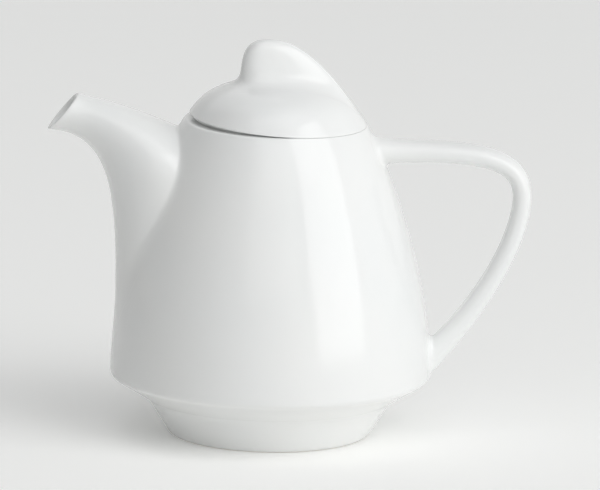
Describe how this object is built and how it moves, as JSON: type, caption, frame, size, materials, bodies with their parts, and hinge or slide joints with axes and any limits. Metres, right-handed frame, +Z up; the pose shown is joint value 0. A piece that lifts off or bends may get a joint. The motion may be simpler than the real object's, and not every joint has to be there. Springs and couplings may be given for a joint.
{
  "type": "coffee pot",
  "caption": "White glazed porcelain coffee pot with a beak spout, an angular handle and a loose domed lid with a fin-shaped knob.",
  "frame": {"origin": "on the pot's own axis, in the plane of the face that it stands on", "axes": "+Z up along the pot's axis, the spout points along -X and the handle along +X"},
  "size_m": [0.1713, 0.1132, 0.1414],
  "materials": {
    "glazed_porcelain": "clear gloss glaze over white porcelain",
    "glazed_foot": "clear gloss glaze, wiped off the standing face"
  },
  "bodies": {
    "pot": {"pot_body": "glazed_porcelain", "foot_ring": "glazed_foot", "spout": "glazed_porcelain", "handle": "glazed_porcelain"},
    "lid": {"lid_dome": "glazed_porcelain", "lid_flange": "glazed_porcelain", "lid_fin": "glazed_porcelain"}
  },
  "joints": [
    {"name": "lid_lift", "type": "slide", "parent": "pot", "child": "lid", "axis": [0, 0, 1], "range_m": [0, 0.06]}
  ]
}
